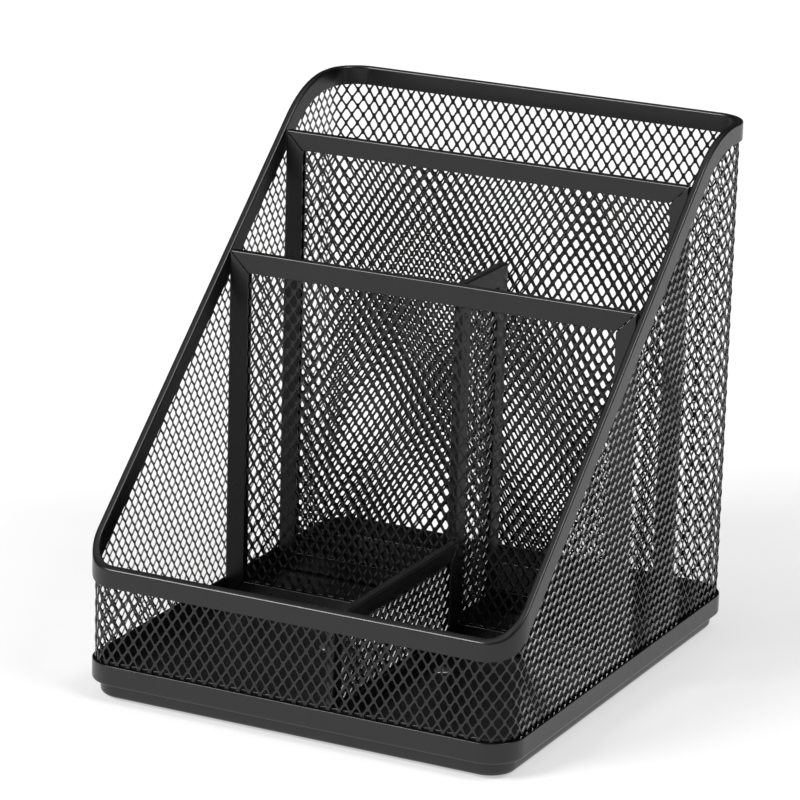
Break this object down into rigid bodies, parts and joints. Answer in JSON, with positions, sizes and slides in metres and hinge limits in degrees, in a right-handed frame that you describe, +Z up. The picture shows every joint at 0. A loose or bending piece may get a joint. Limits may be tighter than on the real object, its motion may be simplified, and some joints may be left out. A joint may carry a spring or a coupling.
{
  "type": "revolving desk organizer",
  "caption": "Black expanded-steel desk sorter with a low front tray, sloping sides, framed dividers and a base that turns on a flat ball bearing.",
  "frame": {"origin": "on the desk surface, at the centre of the footprint, which is also on the turning axis", "axes": "+Z up along the turning axis, -Y towards the low open tray, +Y towards the tall back, +X to the right when seen from the tray side"},
  "size_m": [0.1542, 0.1772, 0.1786],
  "materials": {
    "black_steel": "satin black powder coat",
    "black_mesh": "satin black powder coat on expanded steel",
    "zinc_steel": "zinc plated steel",
    "ball_steel": "polished bearing steel",
    "nylon": "natural nylon",
    "rubber": "matt black rubber"
  },
  "bodies": {
    "turntable_base": {"base_tray": "black_steel", "rubber_foot_1": "rubber", "rubber_foot_2": "rubber", "rubber_foot_3": "rubber", "rubber_foot_4": "rubber", "lower_bearing_plate": "zinc_steel", "base_rivet_1": "zinc_steel", "base_rivet_2": "zinc_steel", "base_rivet_3": "zinc_steel", "base_rivet_4": "zinc_steel", "pivot_rivet": "zinc_steel"},
    "ball_cage": {"ball_cage": "nylon", "ball_1": "ball_steel", "ball_2": "ball_steel", "ball_3": "ball_steel", "ball_4": "ball_steel", "ball_5": "ball_steel", "ball_6": "ball_steel", "ball_7": "ball_steel", "ball_8": "ball_steel", "ball_9": "ball_steel", "ball_10": "ball_steel", "ball_11": "ball_steel", "ball_12": "ball_steel"},
    "organizer": {"upper_bearing_plate": "zinc_steel", "pan_rivet_1": "zinc_steel", "pan_rivet_2": "zinc_steel", "pan_rivet_3": "zinc_steel", "pan_rivet_4": "zinc_steel", "base_pan": "black_steel", "mesh_wall": "black_mesh", "top_rim": "black_steel", "front_divider_mesh": "black_mesh", "front_divider_top_trim": "black_steel", "front_divider_bottom_trim": "black_steel", "front_divider_left_trim": "black_steel", "front_divider_right_trim": "black_steel", "rear_divider_mesh": "black_mesh", "rear_divider_top_trim": "black_steel", "rear_divider_bottom_trim": "black_steel", "rear_divider_left_trim": "black_steel", "rear_divider_right_trim": "black_steel", "cross_divider_mesh": "black_mesh", "cross_divider_top_trim": "black_steel", "cross_divider_bottom_trim": "black_steel", "cross_divider_front_trim": "black_steel", "cross_divider_rear_trim": "black_steel", "tray_divider_mesh": "black_mesh", "tray_divider_top_trim": "black_steel", "tray_divider_bottom_trim": "black_steel", "tray_divider_front_trim": "black_steel", "tray_divider_rear_trim": "black_steel"}
  },
  "joints": [
    {"name": "organizer_spin", "type": "hinge", "parent": "turntable_base", "child": "organizer", "pos_m": [0, 0, 0.00395], "axis": [0, 0, 1], "continuous": true},
    {"name": "cage_spin", "type": "hinge", "parent": "turntable_base", "child": "ball_cage", "pos_m": [0, 0, 0.00395], "axis": [0, 0, 1], "continuous": true}
  ],
  "couplings": [
    {"joint": "cage_spin", "follows": "organizer_spin", "ratio": 0.5}
  ]
}
